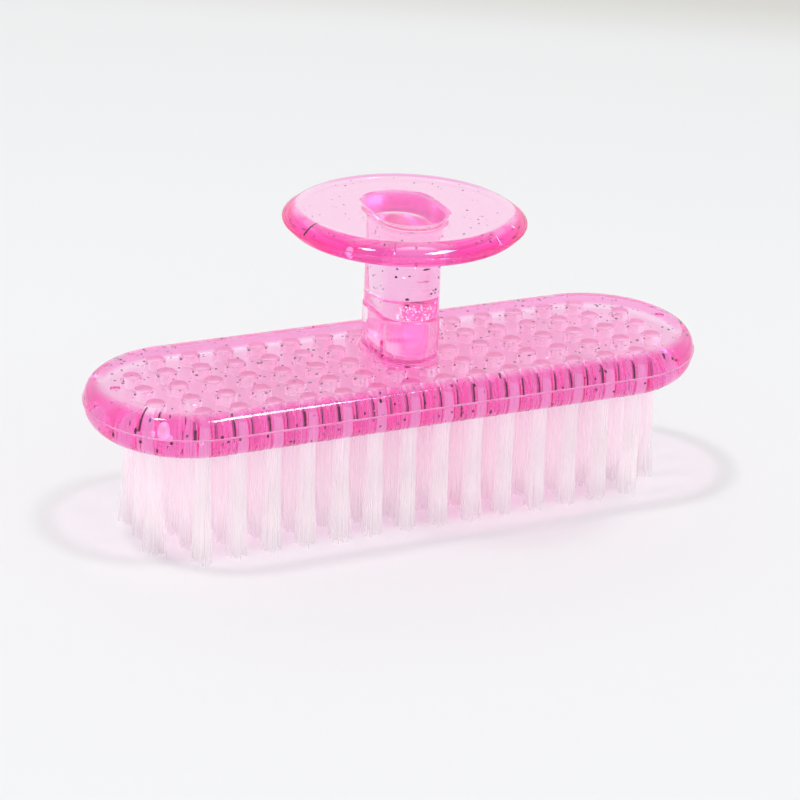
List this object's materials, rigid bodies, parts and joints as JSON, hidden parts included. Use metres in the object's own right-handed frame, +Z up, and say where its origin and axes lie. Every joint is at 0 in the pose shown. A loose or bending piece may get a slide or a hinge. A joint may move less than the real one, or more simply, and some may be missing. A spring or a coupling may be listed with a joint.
{
  "type": "nail brush",
  "caption": "Clear moulded nail brush: an oval block of bristle tufts with a round knob handle on a short stem.",
  "frame": {"origin": "middle of the plane that the bristle tips stand on, under the centre of the knob", "axes": "+X along the block, +Y across it, +Z up from the bristle tips to the knob"},
  "size_m": [0.0954, 0.035, 0.046],
  "materials": {
    "clear_pink_plastic": "clear pink moulded plastic with fine glitter",
    "bristle_nylon": "white nylon filaments",
    "anchor_wire": "flat drawn wire"
  },
  "bodies": {
    "root": {"brush_block": "clear_pink_plastic", "knob_handle": "clear_pink_plastic", "tuft_anchors": "anchor_wire", "tufts_column_01": "bristle_nylon", "tufts_column_02": "bristle_nylon", "tufts_column_03": "bristle_nylon", "tufts_column_04": "bristle_nylon", "tufts_column_05": "bristle_nylon", "tufts_column_06": "bristle_nylon", "tufts_column_07": "bristle_nylon", "tufts_column_08": "bristle_nylon", "tufts_column_09": "bristle_nylon", "tufts_column_10": "bristle_nylon", "tufts_column_11": "bristle_nylon", "tufts_column_12": "bristle_nylon", "tufts_column_13": "bristle_nylon", "tufts_column_14": "bristle_nylon", "tufts_column_15": "bristle_nylon", "tufts_column_16": "bristle_nylon"}
  },
  "joints": []
}
